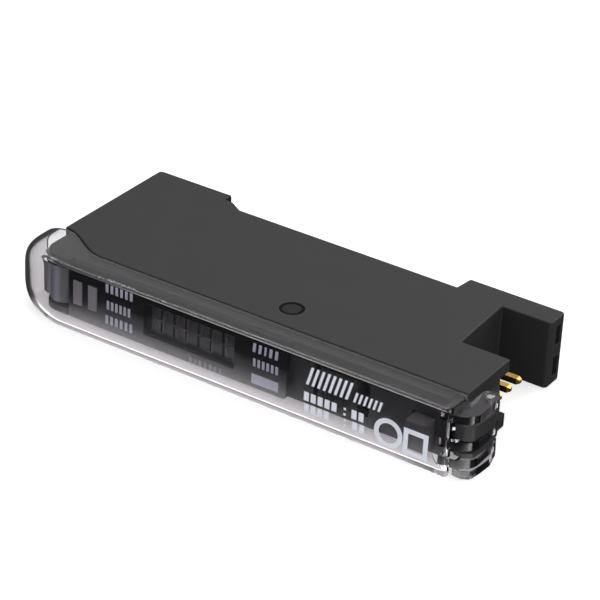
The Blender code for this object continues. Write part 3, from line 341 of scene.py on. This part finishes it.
def ink_shapes(name, outlines, y, body, material):
    """Flat printed shapes: closed outlines in x and z, millimetres, laid a hair in front of the face at y."""
    bm = bmesh.new()
    for outline in outlines:
        front = [bm.verts.new(spot(x, y, z) - Vector((0, 1.5 * ink_depth, 0))) for x, z in outline]
        behind = [bm.verts.new(spot(x, y, z) - Vector((0, 0.5 * ink_depth, 0))) for x, z in outline]
        bm.faces.new(front)
        bm.faces.new(behind)
        for i in range(len(outline)):
            j = (i + 1) % len(outline)
            bm.faces.new((front[i], front[j], behind[j], behind[i]))
    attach(mesh_object(name, bm, material), body)


def bars(x, low, high, widths, gap, lean=0.0):
    """Row of upright bars from x on, as outlines; lean moves their tops along."""
    outlines = []
    for width in widths:
        outlines.append([(x, low), (x + width, low), (x + width + lean, high), (x + lean, high)])
        x += width + gap
    return outlines


mode_rows = (bars(11.9, 6.85, 8.15, (0.45,) * 6, 0.35) + bars(12.1, 4.3, 5.6, (0.4,) * 6, 0.3)
             + bars(11.9, 2.05, 3.35, (0.45,) * 6, 0.35))
ink_shapes("mode_marks", mode_rows, panel_face, "housing", ink)
setting_rows = (bars(35.65, 6.35, 7.65, (0.45, 0.45, 0.3, 0.45, 0.45), 0.45, 0.1)
                + bars(35.8, 4.2, 5.4, (0.4,) * 6, 0.3) + bars(35.65, 1.65, 3.1, (4.2,), 0.3))
ink_shapes("setting_marks", setting_rows, panel_face, "housing", ink)
ink_shapes("foot_marks", bars(25.7, 1.0, 1.9, (0.45,) * 7, 0.35), panel_face, "housing", faint_ink)

# The display is a four-digit block with a dark filter over its segments, soldered to the front board. Its
# unlit segments show as grey-brown bars.
# The lower halves of the block and of its segments are painted paler, a painted reflection of the bright
# floor.
display_dark = gloss_plastic("display_dark", (0.010, 0.010, 0.010), 0.25, painted_reflection_colour=(0.045, 0.045, 0.050))
dress(display_dark, "display_module")
segment_grey = gloss_plastic("segment_grey", (0.030, 0.027, 0.025), 0.3, painted_reflection_colour=(0.105, 0.095, 0.095))
display_face = 3.13
first_digit = 18.9
digit_pitch = 3.95
segment_height = 0.35
segment_width = 0.4
level_length = 1.5
upright_length = 1.6
digit_bars = []
for digit in range(4):
    digit_x = first_digit + digit_pitch * digit
    for bar_z in (2.95, 4.83, 6.7):
        digit_bars += bars(digit_x + 0.35, bar_z, bar_z + segment_height, (level_length,), 0)
    for bar_z in (3.25, 5.13):
        digit_bars += bars(digit_x, bar_z, bar_z + upright_length, (segment_width, segment_width), 1.35)
ink_shapes("digit_segments", digit_bars, display_face, "housing", segment_grey)

# The two indicators are milky light guides that stand on the lamps of the front board and end flush with
# the panel.
indicator_milk = gloss_plastic("indicator_milk", (0.27, 0.26, 0.28), 0.35)
dress(indicator_milk, "output_indicator", "stability_indicator")

# The jog knob is moulded in black ABS with finger grooves across its domed top. It rocks on a stem that
# presses the switch below it.
dress(housing_black, "jog_knob")
switch_grey = grained_plastic("switch_grey", (0.06, 0.06, 0.065), (0.075, 0.075, 0.08), 0.5, 0.00015,
                              0.000006)
dress(switch_grey, "jog_stem", "jog_switch", "mode_switch")

# The mode key is a small grey cap with a satin face. It stands proud of the deck in an opening of its own and
# presses the mode switch.
key_grey = grained_plastic("key_grey", (0.09, 0.09, 0.095), (0.11, 0.11, 0.115), 0.45, 0.00012, 0.000006)
dress(key_grey, "mode_key")

# The lock lever is moulded in blue-grey acetal. Its streaks of light and dark across the face are painted
# highlight and shade of ribs. It turns on a steel pin between the cheeks of the nose, and its cam presses
# the fibre clamp.
lever_grey = grained_plastic("lever_grey", (0.19, 0.185, 0.18), (0.30, 0.33, 0.39), 0.4, 0.00012, 0.000004,
                             painted_rib_light_pitch=0.0019)
dress(lever_grey, "lock_lever", "fibre_clamp")

# The pins of the lever and of the hinge are turned from steel wire, polished by the feed of the machine. They
# sit in the cheeks and the lugs of the case.


def metal(name, colour, roughness, scratch_size):
    """Bare or plated metal with fine scratches and a slight drift of its shine."""
    made, tree, shader = new_material(name)
    place = tree.nodes.new("ShaderNodeTexCoord")
    scratches = noise(tree, 1.0 / scratch_size, 5.0)
    shine = span(tree, 0.0, 1.0, roughness - 0.06, roughness + 0.10)
    edges = rounded_edges(tree, 0.00008)
    bump = fine_bump(tree, 0.000002)
    link_nodes(tree,
               (place.outputs["Object"], scratches.inputs["Vector"]),
               (scratches.outputs["Fac"], shine.inputs["Value"]),
               (shine.outputs["Result"], shader.inputs["Roughness"]),
               (scratches.outputs["Fac"], bump.inputs["Height"]),
               (edges.outputs["Normal"], bump.inputs["Normal"]),
               (bump.outputs["Normal"], shader.inputs["Normal"]))
    shader.inputs["Base Color"].default_value = (*colour, 1.0)
    shader.inputs["Metallic"].default_value = 1.0
    return made


pin_steel = metal("pin_steel", (0.55, 0.55, 0.56), 0.28, 0.0002)
dress(pin_steel, "lever_pin", "hinge_pin")

# The power pins are square brass posts, plated with gold, with chamfered tips. They stand in a black
# insulating header at the end of the main board.
pin_gold = metal("pin_gold", (0.84, 0.54, 0.14), 0.20, 0.0002)
dress(pin_gold, "power_pin", "output_pin", "ground_pin")
dress(housing_black, "pin_header")

# The boards are glass epoxy with green solder mask. Their chips are black epoxy and their cans tinned metal,
# and the emitter is cast in clear epoxy.
board_green = gloss_plastic("board_green", (0.015, 0.09, 0.045), 0.35)
dress(board_green, "front_board", "main_board")
chip_black = grained_plastic("chip_black", (0.018, 0.018, 0.018), (0.024, 0.024, 0.024), 0.6, 0.00012,
                             0.000006)
dress(chip_black, "receiver_chip", "controller_chip", "supply_coil", "output_transistor", "board_link",
      "upper_link_chip", "lower_link_chip", "fibre_guide", "light_receiver")
can_tin = metal("can_tin", (0.62, 0.62, 0.60), 0.35, 0.0003)
dress(can_tin, "receiver_shield", "clock_crystal", "capacitor")
lens_clear = gloss_plastic("lens_clear", (0.70, 0.66, 0.60), 0.12)
dress(lens_clear, "light_emitter")

# The dust cover is moulded in clear smoke polycarbonate, polished inside and out. It snaps on the hinge pin
# with three ears, and its nose dips over the fibre lever.
cover_wall = 0.65
cover_edge = 0.35
inner_edge = 0.15
skirt_depth = 4.4
nose_skirt_depth = 8.2
rim_run = 9.0
nose_start = 5.8
nose_reach = 9.6
nose_centre = 7.0
plan_power = 3.66
profile_power = 2.48
body_width = (cover_high[2] - cover_low[2]) * 1000
cover_rear = 66.15
rear_corner = 1.0
hinge_x = 67.7
hinge_y = 7.3
ear_rear = 69.2
ear_tip = 1.25
ear_bore = 0.55
ear_bend = 2.75
ear_bend_x = ear_rear - 2.9
ear_bend_y = 3.35
ear_root = cover_rear - 1.4
ear_spans = ((1.5, 2.8), (4.1, 5.3), (body_width - 2.0, body_width - 0.9))
lug_reach = 6.5
lug_top = 1.2


def smoke_polycarbonate(name, tint, smoke, density, roughness, dull_end, clear_start):
    """Clear plastic tinted in its depth, so thick edges look darker, which lets lamp light through.

    Its underside is dull as far back as dull_end and fades to clear at clear_start. Where it is dull, about
    half the light passes straight through to what it lies on.
    """
    dull_share = 0.55
    underside_low = 0.00004
    underside_high = 0.00005
    made, tree, shader = new_material(name)
    shader.inputs["Base Color"].default_value = (*tint, 1.0)
    shader.inputs["Roughness"].default_value = roughness
    shader.inputs["IOR"].default_value = 1.5
    shader.inputs["Transmission Weight"].default_value = 1.0
    clear = tree.nodes.new("ShaderNodeBsdfTransparent")
    clear.inputs["Color"].default_value = (*tint, 1.0)
    ray = tree.nodes.new("ShaderNodeLightPath")
    choose = tree.nodes.new("ShaderNodeMixShader")
    depth = tree.nodes.new("ShaderNodeVolumeAbsorption")
    depth.inputs["Color"].default_value = (*smoke, 1.0)
    depth.inputs["Density"].default_value = density
    place = tree.nodes.new("ShaderNodeTexCoord")
    axes = tree.nodes.new("ShaderNodeSeparateXYZ")
    underside = span(tree, underside_low, underside_high, dull_share, 0.0)
    along = span(tree, dull_end, clear_start, 1.0, 0.0)
    dull = math_step(tree, "MULTIPLY")
    passing = math_step(tree, "MAXIMUM")
    output = tree.nodes["Material Output"]
    link_nodes(tree,
               (place.outputs["Object"], axes.inputs["Vector"]),
               (axes.outputs["Z"], underside.inputs["Value"]),
               (axes.outputs["X"], along.inputs["Value"]),
               (underside.outputs["Result"], dull.inputs[0]),
               (along.outputs["Result"], dull.inputs[1]),
               (dull.outputs[0], passing.inputs[1]),
               (ray.outputs["Is Shadow Ray"], passing.inputs[0]),
               (passing.outputs[0], choose.inputs["Fac"]),
               (shader.outputs["BSDF"], choose.inputs[1]),
               (clear.outputs["BSDF"], choose.inputs[2]),
               (choose.outputs["Shader"], output.inputs["Surface"]),
               (depth.outputs["Volume"], output.inputs["Volume"]))
    return made


def cover_loop(y, face, reach, half_width, edge, rear, rear_round):
    """Plan outline of the cover at one depth, from the rear round the nose and back."""
    share = min(max((nose_centre - y) / (nose_centre - face), 0.0), 1.0)
    forward = max((1 - share ** profile_power) ** (1 / profile_power), 0.01)
    below = min(y - face, edge)
    half = half_width - edge + math.sqrt(max(edge ** 2 - (edge - below) ** 2, 0.0))
    below = min(y - face, rear_round)
    end = rear - rear_round + math.sqrt(max(rear_round ** 2 - (rear_round - below) ** 2, 0.0))
    middle = body_width / 2
    loop = [(end, middle - half), (end - 0.5, middle - half), (nose_start + 0.5, middle - half)]
    for step in range(65):
        angle = -math.pi / 2 + math.pi * step / 64
        side = math.copysign(abs(math.sin(angle)) ** (2 / plan_power), math.sin(angle))
        front = abs(math.cos(angle)) ** (2 / plan_power)
        loop.append((nose_start - reach * forward * front, middle + half * side))
    return loop + [(nose_start + 0.5, middle + half), (end - 0.5, middle + half), (end, middle + half)]


def cover_solid(name, face, reach, half_width, edge, rear, rear_round, last):
    """Domed solid stacked from plan outlines, fine enough to look smooth."""
    depths = [face + edge * (1 - math.cos(math.radians(a))) for a in (12, 25, 40, 55, 72, 90)]
    depths += [face + (nose_centre - face) * (1 - math.sin(math.radians(a)) ** (2 / profile_power))
               for a in range(0, 90, 3)]
    depths = sorted(set([face, last] + depths))
    bm = bmesh.new()
    rings = []
    for y in depths:
        loop = cover_loop(y, face, reach, half_width, edge, rear, rear_round)
        rings.append([bm.verts.new(spot(x, y, z)) for x, z in loop])
    count = len(rings[0])
    for upper, lower in zip(rings, rings[1:]):
        for i in range(count):
            j = (i + 1) % count
            bm.faces.new((upper[i], upper[j], lower[j], lower[i]))
    bm.faces.new(rings[0])
    bm.faces.new(rings[-1])
    return mesh_object(name, bm)


def drawn_up(name, outline, low, high):
    """Outline in x and y, millimetres, drawn up from low to high."""
    bm = bmesh.new()
    below = [bm.verts.new(spot(x, y, low)) for x, y in outline]
    above = [bm.verts.new(spot(x, y, high)) for x, y in outline]
    bm.faces.new(below)
    bm.faces.new(above)
    for i in range(len(outline)):
        j = (i + 1) % len(outline)
        bm.faces.new((below[i], below[j], above[j], above[i]))
    return mesh_object(name, bm)


def shape_with(piece, other, operation):
    """Cut other from piece, or join it on, and take other away."""
    change = piece.modifiers.new("change", "BOOLEAN")
    change.operation = operation
    change.solver = "EXACT"
    change.object = other
    bpy.context.view_layer.update()
    changed = bpy.data.meshes.new_from_object(piece.evaluated_get(bpy.context.evaluated_depsgraph_get()))
    piece.modifiers.clear()
    piece.data = changed
    bpy.data.objects.remove(other, do_unlink=True)


def ring_points(centre_x, centre_y, radius, start, end, steps):
    return [(centre_x + radius * math.cos(math.radians(start + (end - start) * i / steps)),
             centre_y + radius * math.sin(math.radians(start + (end - start) * i / steps)))
            for i in range(steps + 1)]


def skirt_rim(x):
    """Depth of the skirt's rim, which sweeps down to the nose."""
    share = min(max(x / rim_run, 0.0), 1.0)
    return skirt_depth + (nose_skirt_depth - skirt_depth) * 0.5 * (1 + math.cos(math.pi * share))


clear_cover = cover_solid("clear_cover", 0.0, nose_reach, body_width / 2, cover_edge, cover_rear,
                          rear_corner, 12.0)
cover_room = cover_solid("cover_room", cover_wall, nose_reach - cover_wall, body_width / 2 - cover_wall,
                         inner_edge, cover_rear - cover_wall, rear_corner - cover_wall, 13.0)
shape_with(clear_cover, cover_room, "DIFFERENCE")
rear_way = [(cover_rear - 2, 1.0), (cover_rear + 3, 1.0), (cover_rear + 3, 14.0), (cover_rear - 2, 14.0)]
shape_with(clear_cover, drawn_up("rear_way", rear_way, cover_wall, body_width - cover_wall), "DIFFERENCE")
below_rim = [(-7.0, skirt_rim(0))] + [(rim_run * i / 40, skirt_rim(rim_run * i / 40)) for i in range(41)]
below_rim += [(cover_rear + 5, skirt_depth), (cover_rear + 5, 20.0), (-7.0, 20.0)]
shape_with(clear_cover, drawn_up("below_rim", below_rim, -1, body_width + 1), "DIFFERENCE")
ear_line = ([(ear_bend_x, cover_edge)] + ring_points(ear_bend_x, ear_bend_y, ear_bend, 270, 355, 14)
            + [(hinge_x + ear_tip, hinge_y - 0.6)] + ring_points(hinge_x, hinge_y, ear_tip, 0, 180, 24)
            + [(cover_rear + 0.4, hinge_y - 0.8), (cover_rear + 0.4, skirt_depth + 0.3), (ear_root, 3.6),
               (ear_root, cover_wall / 2)])
ear_hole = ring_points(hinge_x, hinge_y, ear_bore, 0, 345, 23)
for ear_low, ear_high in ear_spans:
    ear = drawn_up("ear", ear_line, ear_low, ear_high)
    shape_with(ear, drawn_up("ear_hole", ear_hole, ear_low - 1, ear_high + 1), "DIFFERENCE")
    shape_with(clear_cover, ear, "UNION")
lug_way = ring_points(hinge_x, hinge_y, lug_reach, 0, 355, 71)
shape_with(clear_cover, drawn_up("lug_way", lug_way, -1, lug_top), "DIFFERENCE")
clear_cover.data.shade_smooth()
clear_cover.data.set_sharp_from_angle(angle=math.radians(32))
even = clear_cover.modifiers.new("even_normals", "WEIGHTED_NORMAL")
even.keep_sharp = True
cover_smoke = smoke_polycarbonate("cover_smoke", (0.97, 0.965, 0.97), (0.72, 0.70, 0.72), 1150.0, 0.03,
                                  spot(58.0, 0, 0).x, spot(64.0, 0, 0).x)
clear_cover.data.materials.clear()
clear_cover.data.materials.append(cover_smoke)
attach(clear_cover, "dust_cover")
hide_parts("cover")
dress(cover_smoke, "cover")

# The print on the cover is white screen ink, laid on the outer face: two lines of marks below a heading, and
# two plain shapes at the hinge end.
cover_ink = grained_plastic("cover_ink", (0.80, 0.83, 0.92), (0.86, 0.88, 0.96), 0.55, 0.0001, 0.000002)
heading = bars(45.2, 5.95, 8.65, (0.42,) * 8, 0.42, 0.75) + bars(52.3, 5.95, 7.45, (0.36,) * 6, 0.36, 0.4)
upper_line = (bars(45.0, 3.5, 4.8, (0.75,) * 5, 0.3) + bars(51.0, 3.5, 3.85, (0.35,), 0)
              + bars(51.0, 4.3, 4.65, (0.35,), 0) + bars(52.2, 3.5, 4.8, (0.75,) * 2, 0.3))
lower_line = (bars(45.1, 1.85, 3.1, (0.75,) * 4, 0.25) + bars(51.1, 1.85, 2.2, (0.35,), 0)
              + bars(51.1, 2.65, 3.0, (0.35,), 0) + bars(52.4, 1.85, 3.1, (0.75,) * 2, 0.3))
ink_shapes("cover_print", heading + upper_line + lower_line, 0.0, "dust_cover", cover_ink)
ring_middle = (57.7, 3.4)
ring_steps = 36


def frame_strips(outer, inner):
    """Strips between an outer and an inner outline of as many points."""
    return [[outer[i], outer[(i + 1) % len(outer)], inner[(i + 1) % len(outer)], inner[i]]
            for i in range(len(outer))]


ring_strips = frame_strips(ring_points(*ring_middle, 2.1, 0, 350, ring_steps - 1),
                           ring_points(*ring_middle, 1.4, 0, 350, ring_steps - 1))
square_strips = frame_strips([(59.9, 1.4), (63.5, 1.4), (63.5, 5.2), (59.9, 5.2)],
                             [(60.6, 2.1), (62.8, 2.1), (62.8, 4.5), (60.6, 4.5)])
ink_shapes("cover_shapes", ring_strips + square_strips, 0.0, "dust_cover", cover_ink)

# The floor is a sheet of white paper, which keeps a faint shadow under the amplifier. It shows bright through
# clear plastic. In reflections it is painted dark, with a painted reflection: a strip in front of the cover
# that glows only in reflections, faint before the nose.
floor_half = 3.0
floor_drop = 0.00002
cover_front = cad_box[0][1]
strip_depth = 0.009
painted_reflection_bright = 4.9
strip_nose_bright = 0.15
strip_rest = 0.02
paper_bright = 0.45
through_clear = 1.3
floor_mesh = bpy.data.meshes.new("floor")
floor_mesh.from_pydata([(-floor_half, -floor_half, 0), (floor_half, -floor_half, 0),
                        (floor_half, floor_half, 0), (-floor_half, floor_half, 0)], [], [(0, 1, 2, 3)])
floor = bpy.data.objects.new("floor", floor_mesh)
floor.location.z = -floor_drop
bpy.context.scene.collection.objects.link(floor)
paper, paper_tree, paper_shader = new_material("paper")
paper_shader.inputs["Roughness"].default_value = 0.9
paper_shader.inputs["Specular IOR Level"].default_value = 0.0
paper_shader.inputs["Emission Color"].default_value = (1.0, 1.0, 1.0, 1.0)
paper_ray = paper_tree.nodes.new("ShaderNodeLightPath")
# Painted reflection: the paper's colour turns dark where it is seen in a reflection.
paper_and_painted_reflection_tone = colour_mix(paper_tree, (0.80, 0.80, 0.80), (0.05, 0.05, 0.055))
paper_place = paper_tree.nodes.new("ShaderNodeTexCoord")
paper_axes = paper_tree.nodes.new("ShaderNodeSeparateXYZ")
# Painted reflection: a strip before the cover glows, seen only in reflections of the floor.
strip_nose = span(paper_tree, spot(-4.0, 0, 0).x, spot(6.0, 0, 0).x, strip_nose_bright, painted_reflection_bright)
strip_near = span(paper_tree, cover_front - strip_depth, cover_front, 0.0, 1.0)
strip_end = span(paper_tree, cover_front + 0.002, cover_front + 0.001, 0.0, 1.0)
strip_curve = math_step(paper_tree, "POWER", None, 3.0)
strip_across = math_step(paper_tree, "MULTIPLY")
painted_reflection_glow = math_step(paper_tree, "MULTIPLY_ADD", None, None, strip_rest)
paper_seen = math_step(paper_tree, "MULTIPLY_ADD", None, through_clear, None)
paper_level = math_step(paper_tree, "MULTIPLY", None, paper_bright)
paper_glow = paper_tree.nodes.new("ShaderNodeMix")
link_nodes(paper_tree,
           (paper_place.outputs["Object"], paper_axes.inputs["Vector"]),
           (paper_axes.outputs["Y"], strip_near.inputs["Value"]),
           (paper_axes.outputs["Y"], strip_end.inputs["Value"]),
           (strip_near.outputs["Result"], strip_curve.inputs[0]),
           (strip_curve.outputs[0], strip_across.inputs[0]),
           (strip_end.outputs["Result"], strip_across.inputs[1]),
           (strip_across.outputs[0], painted_reflection_glow.inputs[0]),
           (paper_axes.outputs["X"], strip_nose.inputs["Value"]),
           (strip_nose.outputs["Result"], painted_reflection_glow.inputs[1]),
           (paper_ray.outputs["Glossy Depth"], paper_and_painted_reflection_tone.inputs[0]),
           (paper_and_painted_reflection_tone.outputs[2], paper_shader.inputs["Base Color"]),
           (paper_ray.outputs["Is Transmission Ray"], paper_seen.inputs[0]),
           (paper_ray.outputs["Is Camera Ray"], paper_seen.inputs[2]),
           (paper_seen.outputs[0], paper_level.inputs[0]),
           (paper_ray.outputs["Glossy Depth"], paper_glow.inputs[0]),
           (paper_level.outputs[0], paper_glow.inputs[2]),
           (painted_reflection_glow.outputs[0], paper_glow.inputs[3]),
           (paper_glow.outputs[0], paper_shader.inputs["Emission Strength"]))
floor_mesh.materials.append(paper)

# The light is that of a white tent: a world that is brighter above than at the horizon, and four soft lamps,
# above, at the right, at the left and behind.
world = bpy.data.worlds.new("tent")
world.use_nodes = True
bpy.context.scene.world = world
world_tree = world.node_tree
tent = world_tree.nodes["Background"]
tent.inputs["Color"].default_value = (1.0, 1.0, 1.0, 1.0)
tent_ray = world_tree.nodes.new("ShaderNodeLightPath")
tent_place = world_tree.nodes.new("ShaderNodeTexCoord")
tent_axes = world_tree.nodes.new("ShaderNodeSeparateXYZ")
tent_rise = span(world_tree, 0.05, 0.45, 0.10, 0.52)
tent_level = world_tree.nodes.new("ShaderNodeMix")
tent_level.inputs[3].default_value = 1.0
link_nodes(world_tree,
           (tent_place.outputs["Generated"], tent_axes.inputs["Vector"]),
           (tent_axes.outputs["Z"], tent_rise.inputs["Value"]),
           (tent_ray.outputs["Is Camera Ray"], tent_level.inputs[0]),
           (tent_rise.outputs["Result"], tent_level.inputs[2]),
           (tent_level.outputs[0], tent.inputs["Strength"]))


def soft_lamp(name, place, size, power):
    """Square lamp that shines at the amplifier from a place in metres."""
    lamp_data = bpy.data.lights.new(name, "AREA")
    lamp_data.shape = "SQUARE"
    lamp_data.size = size
    lamp_data.energy = power
    lamp = bpy.data.objects.new(name, lamp_data)
    lamp.location = place
    lamp.rotation_euler = (-Vector(place)).to_track_quat("-Z", "Y").to_euler()
    bpy.context.scene.collection.objects.link(lamp)


soft_lamp("tent_top", (-0.10, 0.25, 0.60), 0.5, 1.3)
soft_lamp("tent_right", (0.60, -0.25, 0.35), 0.4, 2.3)
soft_lamp("tent_left", (-0.33, -0.14, 0.56), 0.14, 0.5)
soft_lamp("tent_back", (0.15, 0.60, 0.25), 0.4, 1.2)

bpy.context.scene.view_settings.view_transform = "Standard"
